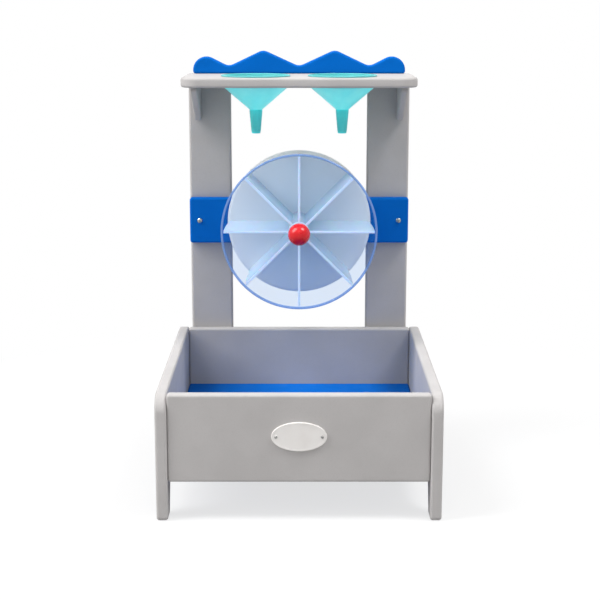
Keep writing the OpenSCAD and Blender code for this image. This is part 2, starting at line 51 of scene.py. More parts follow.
# Places and sizes that part.scad gives these pieces, in millimetres. The toy stands on Z = 0 and faces -Y.
TRAY_SIDE_X = 220.0
PANEL_FRONT_Y = -238.0
FRAME_BACK_Y = 238.0
CROSSBAR_FRONT_Y = 202.0
SHELF_UNDER_Z = 643.5
SHELF_TOP_Z = 660.0
AXLE_Z = 400.0
WHEEL_R = 133.5
BACK_DISC_R = 127.5
HUB_R = 18.0
BALL_R = 18.75
BALL_BACK_Y = 63.0
RIM_FRONT_Y = 64.0
WHEEL_FRONT_Y = 66.0
VANE_FRONT_Y = 70.0
VANE_BACK_Y = 188.0
WHEEL_BACK_Y = 193.0
FUNNEL_X = 74.0
FUNNEL_Y = 129.5
FUNNEL_TIP_Z = 563.0
FUNNEL_NECK_Z = 604.5
PLATE_T = 3.0
PLATE_Z = 134.75
PLATE_SCREW_X = 35.55
CROSSBAR_SCREW_X = 178.5
UPRIGHT_MID_X = 159.0
TRAY_SCREW_Z = (95.9, 172.6)
BRACKET_MID_X = 179.5
BRACKET_SCREW_Z = (627.25, 603.2)
CREST_SCREW_X = 63.54
CREST_MID_Y = 229.0
FRONT_PANEL_MID_Y = -229.0
BACK_PANEL_MID_Y = 211.0
FLOOR_SCREW_Y = (-136.1, 136.1)
FLOOR_MID_Z = 88.0
SIDE_SCREW_LENGTH = 43.0

# The sockets of a colour Mix node, which have the names of its sockets for numbers
MIX_A, MIX_B, MIXED = 6, 7, 2
# Points of a mesh that are nearer than this, in metres, are one
SAME_POINT = 1e-6


# ---- Nodes and materials


def add(tree, kind, inputs=None, **settings):
    """Adds a node with its settings. An input, by name or number, is a value, an output to link, or a node whose
    first output is linked."""
    made = tree.nodes.new(kind)
    for name, value in settings.items():
        setattr(made, name, value)
    for name, value in (inputs or {}).items():
        if isinstance(value, bpy.types.Node):
            value = value.outputs[0]
        if isinstance(value, bpy.types.NodeSocket):
            tree.links.new(value, made.inputs[name])
        else:
            made.inputs[name].default_value = value
    return made


def linear(code):
    """An sRGB hex colour as the linear colour that a socket takes"""
    shares = [int(code[i:i + 2], 16) / 255 for i in (1, 3, 5)]
    return [*(s / 12.92 if s <= 0.04045 else ((s + 0.055) / 1.055) ** 2.4 for s in shares), 1.0]


def per_metre(size_mm):
    """The scale at which a texture's features are about this many millimetres apart"""
    return 1 / (size_mm * MM)


def empty_tree(owner):
    """The node tree of a new material or world, with nothing in it yet"""
    owner.use_nodes = True
    owner.node_tree.nodes.clear()
    return owner.node_tree


def start_material(name, **values):
    """A material with one Principled shader, whose constant sockets are set here"""
    material = bpy.data.materials.new(name)
    tree = empty_tree(material)
    shader = add(tree, "ShaderNodeBsdfPrincipled", {k.replace("_", " "): v for k, v in values.items()})
    add(tree, "ShaderNodeOutputMaterial", {"Surface": shader})
    place = add(tree, "ShaderNodeTexCoord").outputs["Object"]
    return material, tree, shader, place


def cloud(tree, place, size_mm, dark, light, detail=2.0):
    """Soft patches of two colours, about size_mm across"""
    noise = add(tree, "ShaderNodeTexNoise", {"Vector": place, "Scale": per_metre(size_mm), "Detail": detail})
    ramp = add(tree, "ShaderNodeValToRGB", {"Fac": noise})
    for stop, at, colour in zip(ramp.color_ramp.elements, (0.35, 0.65), (dark, light)):
        stop.position = at
        stop.color = linear(colour)
    return ramp.outputs["Color"]


def spread(tree, place, size_mm, low, high):
    """A number that wanders between low and high over about size_mm"""
    noise = add(tree, "ShaderNodeTexNoise", {"Vector": place, "Scale": per_metre(size_mm)})
    return add(tree, "ShaderNodeMapRange", {
        "Value": noise, "From Min": 0.3, "From Max": 0.7, "To Min": low, "To Max": high,
    }).outputs["Result"]


def wire(tree, shader, colour, roughness, height=None, depth_mm=None, strength=None):
    """Links a material's patterns to its shader. Heights from 0 to 1 stand for depth_mm."""
    tree.links.new(colour, shader.inputs["Base Color"])
    tree.links.new(roughness, shader.inputs["Roughness"])
    if height is not None:
        bump = add(tree, "ShaderNodeBump", {"Height": height, "Distance": depth_mm * MM, "Strength": strength})
        tree.links.new(bump.outputs["Normal"], shader.inputs["Normal"])


def finish_with(tree, surface):
    """Puts another surface in the place of the Principled shader alone"""
    tree.links.new(surface.outputs[0], tree.nodes["Material Output"].inputs["Surface"])


def pebbled_sheet(name, dark, light, fleck, shine):
    """Coloured-through HDPE sheet with a fine pebbled face: a soft, even sheen with no print or grain.
    The real pebbles are under 1 mm; they are drawn 2.4 mm apart so that they show."""
    material, tree, shader, place = start_material(name, IOR=1.5, Specular_IOR_Level=shine)
    body = cloud(tree, place, 70.0, dark, light, detail=3.0)
    flecks = add(tree, "ShaderNodeTexNoise", {"Vector": place, "Scale": per_metre(1.6), "Detail": 1.0})
    share = add(tree, "ShaderNodeMapRange", {
        "Value": flecks, "From Min": 0.55, "From Max": 0.75, "To Min": 0.0, "To Max": 0.35})
    flecked = add(tree, "ShaderNodeMix", {"Factor": share, MIX_A: body, MIX_B: linear(fleck)}, data_type="RGBA")
    pebbles = add(tree, "ShaderNodeTexVoronoi", {"Vector": place, "Scale": per_metre(2.4)}, feature="SMOOTH_F1")
    wire(tree, shader, flecked.outputs[MIXED], spread(tree, place, 30.0, 0.46, 0.56),
         pebbles, depth_mm=0.10, strength=0.35)
    return material


def stainless_steel():
    """Stainless steel, cold-headed and brushed by handling: grey metal with a soft streaky glint"""
    material, tree, shader, place = start_material("stainless_steel_brushed", Metallic=1.0)
    streaks = add(tree, "ShaderNodeMapping", {"Vector": place, "Scale": (1.0, 1.0, 6.0)})
    scratches = add(tree, "ShaderNodeTexNoise", {"Vector": streaks, "Scale": per_metre(0.6)})
    wire(tree, shader, cloud(tree, place, 9.0, "#A9ABAC", "#C9C8C4"), spread(tree, streaks, 2.0, 0.24, 0.40),
         scratches, depth_mm=0.01, strength=0.5)
    return material


def nylon():
    """Natural nylon, turned from rod: off-white, waxy and a little see-through"""
    material, tree, shader, place = start_material(
        "nylon_natural", IOR=1.53, Subsurface_Weight=0.4, Subsurface_Scale=0.002)
    wire(tree, shader, cloud(tree, place, 12.0, "#DAD8CF", "#E6E4DC"), spread(tree, place, 6.0, 0.36, 0.46))
    return material


def moulded_plastic(name, tones, sheen, grain, **values):
    """An opaque moulded plastic. Tones are the patches' size and two colours, sheen is its patches' size and two
    roughnesses, and grain is the tool finish: its spacing and depth in millimetres, and its strength."""
    material, tree, shader, place = start_material(name, **values)
    spacing, depth, strength = grain
    finish = add(tree, "ShaderNodeTexNoise", {"Vector": place, "Scale": per_metre(spacing)})
    wire(tree, shader, cloud(tree, place, *tones), spread(tree, place, *sheen), finish, depth, strength)
    return material


def turquoise_polypropylene():
    """Polypropylene, thin-walled and tinted turquoise: light comes through it, so that it glows evenly"""
    material, tree, shader, place = start_material(
        "polypropylene_turquoise_translucent", IOR=1.49, Specular_IOR_Level=0.3, Subsurface_Weight=0.85,
        Subsurface_Scale=0.006, Subsurface_Radius=(0.7, 1.0, 1.0))
    height = add(tree, "ShaderNodeSeparateXYZ", {"Vector": place}).outputs["Z"]
    # The plastic is drawn out down the walls as it flows into the mould
    flow = add(tree, "ShaderNodeMapping", {"Vector": place, "Scale": (1.0, 1.0, 0.25)})
    wall = cloud(tree, flow, 22.0, "#8CEFF4", "#9AF5F8")
    # The thick rim is deeper in tone, and so is the stem
    rim = add(tree, "ShaderNodeMapRange", {
        "Value": height, "From Min": (SHELF_TOP_Z - 8.0) * MM, "From Max": (SHELF_TOP_Z + 1.0) * MM})
    stem = add(tree, "ShaderNodeMapRange", {
        "Value": height, "From Min": (FUNNEL_NECK_Z - 1.0) * MM, "From Max": FUNNEL_NECK_Z * MM,
        "To Min": 1.0, "To Max": 0.0})
    rimmed = add(tree, "ShaderNodeMix", {"Factor": rim, MIX_A: wall, MIX_B: linear("#5FB4B4")}, data_type="RGBA")
    tone = add(tree, "ShaderNodeMix", {
        "Factor": stem, MIX_A: rimmed.outputs[MIXED], MIX_B: linear("#5CEBEE")}, data_type="RGBA")
    wire(tree, shader, tone.outputs[MIXED], spread(tree, place, 15.0, 0.30, 0.40),
         add(tree, "ShaderNodeTexNoise", {"Vector": flow, "Scale": per_metre(1.6)}), depth_mm=0.02, strength=0.4)
    return material


def blue_vane_plastic():
    """Acrylic tinted pale blue and moulded: light passes the thin walls. Their front edges are painted paler and
    given a painted glow, so that they shine"""
    # The emission colour is that of the painted glow on the front edges
    material, tree, shader, place = start_material(
        "acrylic_pale_blue_moulded", IOR=1.49, Specular_IOR_Level=0.25, Subsurface_Weight=0.5,
        Subsurface_Scale=0.006, Emission_Color=linear("#E6F2FF"))
    depth = add(tree, "ShaderNodeSeparateXYZ", {"Vector": place}).outputs["Y"]
    edge = add(tree, "ShaderNodeMapRange", {
        "Value": depth, "From Min": (VANE_FRONT_Y + 1.0) * MM, "From Max": (VANE_FRONT_Y + 3.0) * MM,
        "To Min": 1.0, "To Max": 0.0})
    face = cloud(tree, place, 40.0, "#DCECFA", "#E5F2FD")
    # The front edges are painted paler than the faces: a painted highlight
    tone = add(tree, "ShaderNodeMix", {"Factor": edge, MIX_A: face, MIX_B: linear("#F6FBFF")}, data_type="RGBA")
    wire(tree, shader, tone.outputs[MIXED], spread(tree, place, 20.0, 0.30, 0.40),
         add(tree, "ShaderNodeTexNoise", {"Vector": place, "Scale": per_metre(9.0)}), depth_mm=0.02, strength=0.2)
    # Painted glow: the front edges give off light of their own, as if light that runs inside the walls came out
    # there
    glow = add(tree, "ShaderNodeMath", {0: edge, 1: 0.33}, operation="MULTIPLY")
    tree.links.new(glow.outputs[0], shader.inputs["Emission Strength"])
    # Along a wall there is more of it to look through, so that it hides more than straight through
    slant = add(tree, "ShaderNodeLayerWeight", {"Blend": 0.5}).outputs["Facing"]
    wall_milk = add(tree, "ShaderNodeMapRange", {
        "Value": slant, "From Min": 0.3, "From Max": 0.85, "To Min": 0.22, "To Max": 0.72})
    edge_milk = add(tree, "ShaderNodeMath", {0: edge, 1: 0.95}, operation="MULTIPLY")
    milk = add(tree, "ShaderNodeMath", {0: wall_milk, 1: edge_milk}, operation="MAXIMUM")
    through = add(tree, "ShaderNodeBsdfTransparent", {"Color": linear("#FBFEFF")})
    finish_with(tree, add(tree, "ShaderNodeMixShader", {0: milk, 1: through, 2: shader}))
    return material


def clear_blue_acrylic():
    """Clear acrylic with a light blue tint, moulded with a polished face: what is behind it shows cooler and
    bluer, and its thicker rolled rim is milky and pale"""
    material, tree, shader, place = start_material(
        "acrylic_clear_blue_polished", IOR=1.49, Specular_IOR_Level=0.0)
    from_axle = add(tree, "ShaderNodeMapping", {
        "Vector": place, "Scale": (1.0, 0.0, 1.0), "Location": (0.0, 0.0, -AXLE_Z * MM)})
    radius = add(tree, "ShaderNodeVectorMath", {0: from_axle}, operation="LENGTH").outputs["Value"]
    rim = add(tree, "ShaderNodeMapRange", {
        "Value": radius, "From Min": (WHEEL_R - 4.2) * MM, "From Max": (WHEEL_R - 3.2) * MM})
    tint = add(tree, "ShaderNodeMix", {
        "Factor": rim, MIX_A: cloud(tree, place, 50.0, "#3398FA", "#3F9FFB"), MIX_B: linear("#97C0F7"),
    }, data_type="RGBA")
    wire(tree, shader, tint.outputs[MIXED], spread(tree, place, 40.0, 0.40, 0.50))
    milk = add(tree, "ShaderNodeMapRange", {"Value": rim, "To Min": 0.06, "To Max": 0.40})
    passed = add(tree, "ShaderNodeMix", {
        "Factor": rim, MIX_A: linear("#F3F8FD"), MIX_B: linear("#B8CBEE")}, data_type="RGBA")
    through = add(tree, "ShaderNodeBsdfTransparent", {"Color": passed.outputs[MIXED]})
    sheet = add(tree, "ShaderNodeMixShader", {0: milk, 1: through, 2: shader})
    # The polished face is a little wavy, so that its reflections are soft
    waves = add(tree, "ShaderNodeTexNoise", {"Vector": place, "Scale": per_metre(18.0)})
    ripple = add(tree, "ShaderNodeBump", {"Height": waves, "Distance": 0.03 * MM, "Strength": 0.2})
    shine = add(tree, "ShaderNodeBsdfGlossy", {"Color": linear("#C8C8C8"), "Roughness": 0.06, "Normal": ripple})
    # The mirror share by Schlick's rule. It's the same from both sides, so that slanting light still passes.
    slant = add(tree, "ShaderNodeLayerWeight", {"Blend": 0.5, "Normal": ripple}).outputs["Facing"]
    grazing = add(tree, "ShaderNodeMath", {0: slant, 1: 5.0}, operation="POWER")
    straight_on = add(tree, "ShaderNodeMath", {0: rim, 1: 0.07, 2: 0.006}, operation="MULTIPLY_ADD")
    mirror = add(tree, "ShaderNodeMath", {0: grazing, 1: 0.6, 2: straight_on}, operation="MULTIPLY_ADD")
    finish_with(tree, add(tree, "ShaderNodeMixShader", {0: mirror, 1: sheet, 2: shine}))
    return material


GREY = pebbled_sheet("hdpe_sheet_grey_pebbled", "#B6B3B2", "#BCB9B8", "#ACA9A8", shine=0.08)
BLUE = pebbled_sheet("hdpe_sheet_blue_pebbled", "#0262BC", "#0366C2", "#025AAC", shine=0.04)
STEEL = stainless_steel()
NYLON = nylon()
# Injection-moulded ABS in warm white: bright and even, with a fine satin tool finish
WARM_WHITE = moulded_plastic(
    "abs_warm_white_satin", (60.0, "#F9F6F2", "#FCFAF7"), (25.0, 0.38, 0.46), (1.2, 0.03, 0.4), IOR=1.52)
# Injection-moulded polystyrene: pale, with a satin face
PLATE = moulded_plastic(
    "polystyrene_pale_satin", (30.0, "#E7E3E0", "#ECE9E6"), (14.0, 0.34, 0.42), (0.9, 0.02, 0.4), IOR=1.55)
TURQUOISE = turquoise_polypropylene()
VANE_BLUE = blue_vane_plastic()
CLEAR_BLUE = clear_blue_acrylic()
# Phenolic, pressed and polished: deep red under a hard clear shine
RED = moulded_plastic(
    "phenolic_red_polished", (14.0, "#D00C18", "#D8111D"), (9.0, 0.24, 0.32), (6.0, 0.02, 0.3),
    IOR=1.5, Specular_IOR_Level=0.42, Coat_Weight=0.12, Coat_Roughness=0.14, Coat_IOR=1.5)


# ---- Meshes


def put(name, data):
    """A new object at the scene's origin"""
    thing = bpy.data.objects.new(name, data)
    bpy.context.scene.collection.objects.link(thing)
    return thing


def baked(thing):
    """The plain mesh that an object's modifiers give"""
    return bpy.data.meshes.new_from_object(thing.evaluated_get(bpy.context.evaluated_depsgraph_get()))


def make_piece(name, mesh, body, material, stands_for=(), sharp=35.0):
    """A finished piece at the origin: smooth but for its sharp edges, riding on its body"""
    mesh.shade_smooth()
    mesh.set_sharp_from_angle(angle=math.radians(sharp))
    mesh.materials.clear()
    mesh.materials.append(material)
    piece = put(name, mesh)
    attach(piece, body)
    if stands_for:
        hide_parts(*stands_for)
    return piece


def to_mesh(name, bm):
    """Merges what meets, turns the faces outwards and hands over the mesh"""
    bmesh.ops.remove_doubles(bm, verts=bm.verts, dist=SAME_POINT)
    bmesh.ops.recalc_face_normals(bm, faces=bm.faces)
    mesh = bpy.data.meshes.new(name)
    bm.to_mesh(mesh)
    bm.free()
    return mesh


def softened(corners, steps=6):
    """The points of a closed outline whose corners, (x, y, radius), are rounded"""
    points = []
    for i, (x, y, radius) in enumerate(corners):
        corner = Vector((x, y))
        before = (Vector(corners[i - 1][:2]) - corner).normalized()
        after = (Vector(corners[(i + 1) % len(corners)][:2]) - corner).normalized()
        reach = radius / math.tan(before.angle(after) / 2)
        start, end = corner + before * reach, corner + after * reach
        for k in range(steps + 1):
            t = k / steps
            points.append(start * (1 - t) ** 2 + corner * 2 * t * (1 - t) + end * t ** 2)
    return points


def turned(name, outline, centre, axis, steps):
    """A solid of revolution. Its closed outline is (radius, distance along the axis), in millimetres."""
    bm = bmesh.new()
    rings = []
    for i in range(steps):
        a = 2 * math.pi * i / steps
        ring = []
        for radius, along in outline:
            across = (radius * math.cos(a), radius * math.sin(a))
            at = (across[0], along, across[1]) if axis == "Y" else (across[0], across[1], along)
            ring.append(bm.verts.new((Vector(at) + Vector(centre)) * MM))
        rings.append(ring)
    count = len(outline)
    for i in range(steps):
        one, two = rings[i], rings[(i + 1) % steps]
        for k in range(count):
            n = (k + 1) % count
            # What lies on the axis sweeps no face
            if outline[k][0] == 0 and outline[n][0] == 0:
                continue
            bm.faces.new((one[k], one[n], two[n], two[k]))
    return to_mesh(name, bm)


def layered(name, rings):
    """A solid skinned over rings of equally many points, closed at both ends"""
    bm = bmesh.new()
    made = [[bm.verts.new(Vector(p) * MM) for p in ring] for ring in rings]
    for lower, upper in zip(made, made[1:]):
        for k in range(len(lower)):
            n = (k + 1) % len(lower)
            bm.faces.new((lower[k], lower[n], upper[n], upper[k]))
    bm.faces.new(made[0])
    bm.faces.new(list(reversed(made[-1])))
    return to_mesh(name, bm)


# ---- Boards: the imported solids, merged and given even faces and smooth rounded edges

BOARDS = {
    "side_panel_left": GREY, "side_panel_right": GREY, "front_panel": GREY, "back_panel": GREY,
    "tray_floor": BLUE, "upright_left": GREY, "upright_right": GREY, "crossbar": BLUE,
    "shelf": GREY, "bracket_left": GREY, "bracket_right": GREY, "crest": BLUE,
}
FLAT_WITHIN = math.radians(0.5)

for node, material in BOARDS.items():
    bm = bmesh.new()
    bm.from_mesh(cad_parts[node].data)
    bmesh.ops.remove_doubles(bm, verts=bm.verts, dist=SAME_POINT)
    bmesh.ops.dissolve_limit(bm, angle_limit=FLAT_WITHIN, verts=bm.verts, edges=bm.edges)
    mesh = bpy.data.meshes.new(node + "_board")
    bm.to_mesh(mesh)
    bm.free()
    slot = "blue_board" if material is BLUE else "grey_board"
    board = make_piece(node + "_board", mesh, "frame", material, [node], sharp=42.0)
    even = board.modifiers.new("even_faces", "WEIGHTED_NORMAL")
    even.keep_sharp = True


# ---- Wheel: two turned discs and the hub between them

# The hub and the vanes stop this far short of the discs, because faces in one plane would hide each other
APART = 0.08
# The bore that the bushes turn in
BORE_R = 9.2
# Material, slot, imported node, steps round, and the corners of the section: radius, depth and rounding
WHEEL_TURNINGS = {
    "wheel_front_disc_clear": (CLEAR_BLUE, "clear_blue_plastic", ["wheel_front_disc"], 192, [
        (BORE_R, WHEEL_FRONT_Y, 0.4), (128.6, WHEEL_FRONT_Y, 1.2), (129.6, RIM_FRONT_Y, 0.9),
        (WHEEL_R, RIM_FRONT_Y, 1.9), (WHEEL_R, VANE_FRONT_Y, 1.9), (BORE_R, VANE_FRONT_Y, 0.4)]),
    "wheel_back_disc_moulded": (WARM_WHITE, "warm_white_plastic", ["wheel_back_disc"], 192, [
        (BORE_R, VANE_BACK_Y, 0.3), (123.8, VANE_BACK_Y, 0.6), (124.6, VANE_BACK_Y + 0.6, 0.4),
        (BACK_DISC_R, VANE_BACK_Y + 0.6, 1.0), (BACK_DISC_R, WHEEL_BACK_Y, 1.6), (BORE_R, WHEEL_BACK_Y, 0.3)]),
    "wheel_hub": (VANE_BLUE, "clear_blue_plastic", [], 64, [
        (BORE_R, VANE_FRONT_Y + APART, 0.3), (HUB_R - 0.4, VANE_FRONT_Y + APART, 0.8),
        (HUB_R, VANE_BACK_Y - APART, 0.8), (BORE_R, VANE_BACK_Y - APART, 0.3)]),
}

for name, (material, slot, stands_for, steps, corners) in WHEEL_TURNINGS.items():
    turning = turned(name, softened(corners), (0, 0, AXLE_Z), "Y", steps)
    make_piece(name, turning, "wheel", material, stands_for)


# ---- Geometry Nodes: what repeats

INPUT_KINDS = {"Count": "Int", "Direction": "Vector", "Pattern": "Object"}


def start_tree(name, labels):
    """A geometry tree with a named input for each label. Returns the tree and what its inputs give."""
    tree = bpy.data.node_groups.new(name, "GeometryNodeTree")
    tree.interface.new_socket(name="Geometry", in_out="INPUT", socket_type="NodeSocketGeometry")
    tree.interface.new_socket(name="Geometry", in_out="OUTPUT", socket_type="NodeSocketGeometry")
    for label in labels:
        kind = "NodeSocket" + INPUT_KINDS.get(label, "Float")
        tree.interface.new_socket(name=label, in_out="INPUT", socket_type=kind)
    return tree, add(tree, "NodeGroupInput").outputs


def end_tree(tree, instances, material):
    """Ends a tree as the export needs it: real geometry, with its material set"""
    real = add(tree, "GeometryNodeRealizeInstances", {"Geometry": instances})
    painted = add(tree, "GeometryNodeSetMaterial", {"Geometry": real, "Material": material})
    add(tree, "NodeGroupOutput", {"Geometry": painted})


def end_in_circle(tree, given, thing, axis, material):
    """Ends a tree with Count copies of a thing on each point, each turned by its share of the circle"""
    copies = add(tree, "GeometryNodeDuplicateElements", {
        "Geometry": given["Geometry"], "Amount": given["Count"]}, domain="POINT").outputs
    step = add(tree, "ShaderNodeMath", {0: 2 * math.pi, 1: given["Count"]}, operation="DIVIDE")
    angle = add(tree, "ShaderNodeMath", {0: copies["Duplicate Index"], 1: step}, operation="MULTIPLY")
    placed = add(tree, "GeometryNodeInstanceOnPoints", {
        "Points": copies["Geometry"], "Instance": thing,
        "Rotation": add(tree, "ShaderNodeCombineXYZ", {axis: angle})})
    end_tree(tree, placed, material)


def grow(name, tree, points, values, body, material, stands_for=(), sharp=35.0, edge_mm=0.0):
    """Runs a tree on a set of points and bakes the result to one plain mesh"""
    seeds = bpy.data.meshes.new(name + "_points")
    seeds.from_pydata([Vector(p) * MM for p in points], [], [])
    carrier = put(name + "_carrier", seeds)
    maker = carrier.modifiers.new("maker", "NODES")
    maker.node_group = tree
    for socket in tree.interface.items_tree:
        if socket.name in values:
            maker[socket.identifier] = values[socket.name]
    if edge_mm:
        edge = carrier.modifiers.new("soft_edges", "BEVEL")
        edge.width = edge_mm * MM
        edge.segments = 2
        edge.limit_method = "ANGLE"
        edge.angle_limit = math.radians(50)
    mesh = baked(carrier)
    bpy.data.objects.remove(carrier)
    make_piece(name, mesh, body, material, stands_for, sharp)


# ---- Screws: a turned body with a cross recess, set on its points by Geometry Nodes

# Each kind's head radius, height of dome, depth of the cone under the head, shank radius and width of the cross
ROUND_HEAD = {"head_r": 4.7, "dome": 3.0, "cone": 0.2, "shank_r": 2.5, "cross": 4.4}
SMALL_HEAD = {"head_r": 2.5, "dome": 1.1, "cone": 0.1, "shank_r": 1.5, "cross": 3.2}
SUNK_HEAD = {"head_r": 4.7, "dome": 0.12, "cone": 3.0, "shank_r": 2.5, "cross": 4.2}
DOME_STEPS = 10

# How a screw that is made head up is turned to face each way, and the axis that it then lies along
FACING = {
    "front": ((math.pi / 2, 0, 0), 1), "back": ((-math.pi / 2, 0, 0), 1), "down": ((math.pi, 0, 0), 2),
    "left": ((0, -math.pi / 2, 0), 0), "right": ((0, math.pi / 2, 0), 0),
}


def cross_cutter(width, depth, top):
    """A plus-shaped plug, narrower below, that reaches from above top down by depth"""
    # Half the length of an arm of the cross, and half its width
    arm, half = width / 2, width * 0.13
    plus = [(arm, -half), (arm, half), (half, half), (half, arm), (-half, arm), (-half, half),
            (-arm, half), (-arm, -half), (-half, -half), (-half, -arm), (half, -arm), (half, -half)]
    levels = {top - depth: 0.5, top + 1.0: 1.1}
    return layered("cross_cutter", [[(x * share, y * share, z) for x, y in plus] for z, share in levels.items()])


def screw_body(length, head_r, dome, cone, shank_r, cross):
    """One screw, head up: a dome, a cone under it and a plain shank with a blunt tip, with the cross cut into the
    dome"""
    turns = [math.pi / 2 * k / DOME_STEPS for k in range(DOME_STEPS + 1)]
    outline = [(head_r * math.sin(a), dome * math.cos(a)) for a in turns]
    outline += [(shank_r, -cone), (shank_r, -length + 1.2), (shank_r - 1.0, -length), (0.0, -length)]
    screw = put("screw_body", turned("screw_body", outline, (0, 0, 0), "Z", 32))
    cutter = put("cross_cutter", cross_cutter(cross, max(dome, 1.0) + 0.5, dome))
    cut = screw.modifiers.new("recess", "BOOLEAN")
    cut.object = cutter
    cut.solver = "EXACT"
    pattern = put("screw_pattern", baked(screw))
    bpy.data.objects.remove(screw)
    bpy.data.objects.remove(cutter)
    return pattern


def screw_tree():
    """One screw on each point, each driven home at its own angle"""
    tree, given = start_tree("screws_on_points", ["Pattern", "Direction"])
    screw = add(tree, "GeometryNodeObjectInfo", {"Object": given["Pattern"]}).outputs["Geometry"]
    placed = add(tree, "GeometryNodeInstanceOnPoints", {
        "Points": given["Geometry"], "Instance": screw, "Rotation": given["Direction"]})
    # Of a random number's sockets, 3 is its most and 1 its result
    turn = add(tree, "FunctionNodeRandomValue", {3: math.pi, "Seed": 7}, data_type="FLOAT").outputs[1]
    spun = add(tree, "GeometryNodeRotateInstances", {
        "Instances": placed, "Rotation": add(tree, "ShaderNodeCombineXYZ", {"Z": turn}), "Local Space": True})
    end_tree(tree, spun, STEEL)
    return tree


SCREWS_ON_POINTS = screw_tree()


def screws(node, facing, points, head, length=None):
    """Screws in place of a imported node. Where no length is given, they are as long as its solids are."""
    direction, along = FACING[facing]
    if length is None:
        low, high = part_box(node)
        length = (high - low)[along] / MM - head["dome"]
    pattern = screw_body(length, **head)
    grow(node + "_cross", SCREWS_ON_POINTS, points, {"Pattern": pattern, "Direction": direction},
         "frame", STEEL, [node], sharp=30.0)
    bpy.data.objects.remove(pattern)


def mirrored(*points):
    """Each point on the left, and again on the right"""
    return [(side * x, y, z) for x, y, z in points for side in (-1, 1)]


screws("crossbar_screws", "front", mirrored((CROSSBAR_SCREW_X, CROSSBAR_FRONT_Y, AXLE_Z)), ROUND_HEAD)
screws("plate_screws", "front", mirrored((PLATE_SCREW_X, PANEL_FRONT_Y - PLATE_T, PLATE_Z)), SMALL_HEAD)
screws("upright_screws", "back", mirrored(*((UPRIGHT_MID_X, FRAME_BACK_Y, z) for z in TRAY_SCREW_Z)), ROUND_HEAD)
screws("bracket_screws", "back", mirrored(*((BRACKET_MID_X, FRAME_BACK_Y, z) for z in BRACKET_SCREW_Z)), ROUND_HEAD)
screws("crest_screws", "down", mirrored((CREST_SCREW_X, CREST_MID_Y, SHELF_UNDER_Z)), ROUND_HEAD)

# The sides are screwed to the front panel, the back panel and the floor, with heads that sit just under the face
side_screws = [(y, z) for y in (FRONT_PANEL_MID_Y, BACK_PANEL_MID_Y) for z in TRAY_SCREW_Z]
side_screws += [(y, FLOOR_MID_Z) for y in FLOOR_SCREW_Y]
SUNK_X = TRAY_SIDE_X - 0.15
for side, facing in ((-1, "left"), (1, "right")):
    screws("side_screws_" + facing, facing, [(side * SUNK_X, y, z) for y, z in side_screws], SUNK_HEAD,
           SIDE_SCREW_LENGTH)


# ---- Vanes: one thin wall with a bent outer edge, eight times round the hub

VANE = {
    "Count": 8, "Thickness": 4.0 * MM, "Root Radius": 17.0 * MM,
    "Back Radius": 121.5 * MM, "Front Radius": 129.0 * MM,
    "Front Depth": (VANE_FRONT_Y + APART) * MM, "Back Depth": (VANE_BACK_Y - APART) * MM,
}


def vane_tree():
    """The grid's X runs out from the hub, and its Y from the back disc to the front disc"""
    tree, given = start_tree("wheel_vanes", VANE)
    grid = add(tree, "GeometryNodeMeshGrid", {"Size X": 1.0, "Size Y": 1.0, "Vertices X": 14, "Vertices Y": 25})
    where = add(tree, "ShaderNodeSeparateXYZ", {"Vector": add(tree, "GeometryNodeInputPosition")}).outputs
    # The outer edge leaves the back disc steeply and runs out to the front disc
    to_front = add(tree, "ShaderNodeMath", {0: 0.5, 1: where["Y"]}, operation="SUBTRACT")
    bend = add(tree, "ShaderNodeMath", {0: to_front, 1: 3.0}, operation="POWER")
    edge = add(tree, "ShaderNodeMapRange", {
        "Value": bend, "To Min": given["Front Radius"], "To Max": given["Back Radius"]})
    radius = add(tree, "ShaderNodeMapRange", {
        "Value": where["X"], "From Min": -0.5, "From Max": 0.5, "To Min": given["Root Radius"], "To Max": edge})
    depth = add(tree, "ShaderNodeMapRange", {
        "Value": where["Y"], "From Min": -0.5, "From Max": 0.5,
        "To Min": given["Back Depth"], "To Max": given["Front Depth"]})
    half = add(tree, "ShaderNodeMath", {0: given["Thickness"], 1: 0.5}, operation="MULTIPLY")
    at = add(tree, "ShaderNodeCombineXYZ", {"X": radius, "Y": depth, "Z": half})
    wall = add(tree, "GeometryNodeSetPosition", {"Geometry": grid, "Position": at})
    # The sheet faces down, so it grows down by the thickness, and a flipped copy closes its top
    grown = add(tree, "GeometryNodeExtrudeMesh", {
        "Mesh": wall, "Offset Scale": given["Thickness"], "Individual": False})
    both = add(tree, "GeometryNodeJoinGeometry", {"Geometry": add(tree, "GeometryNodeFlipFaces", {"Mesh": wall})})
    tree.links.new(grown.outputs[0], both.inputs[0])
    vane = add(tree, "GeometryNodeMergeByDistance", {"Geometry": both, "Distance": 1e-5})
    end_in_circle(tree, given, vane, "Y", VANE_BLUE)
    return tree


grow("wheel_vanes_moulded", vane_tree(), [(0, 0, AXLE_Z)], VANE, "wheel", VANE_BLUE,
     ["wheel_vanes"], edge_mm=0.35)


# ---- Ball knob: a turned ball with a flat seat and a fine parting line

BALL_Y = 46.0
BALL_FLAT_R = 8.0
PARTING_DEPTH = 0.12
ball_outline = [(0.0, BALL_Y - BALL_R)]
# Every 3 degrees from the front to the edge of the flat
for degrees in range(3, 156, 3):
    a = math.radians(degrees)
    r = BALL_R - (PARTING_DEPTH if degrees == 90 else 0.0)
    ball_outline.append((r * math.sin(a), BALL_Y - r * math.cos(a)))
ball_outline += [(BALL_FLAT_R, BALL_BACK_Y), (0.0, BALL_BACK_Y)]
make_piece("ball_knob_polished", turned("ball_knob_polished", ball_outline, (0, 0, AXLE_Z), "Y", 96),
           "frame", RED, ["ball_knob"], sharp=30.0)


# ---- Funnels: rim, bowl, cone and a stepped, tapered stem with fine ribs, open all the way through

STEM_TOP_R = 11.0
STEM_TIP_R = 7.4
STEM_TOP_Z = 603.6
RIM_Z = SHELF_TOP_Z + 0.3
RIM_TOP_Z = RIM_Z + 2.2
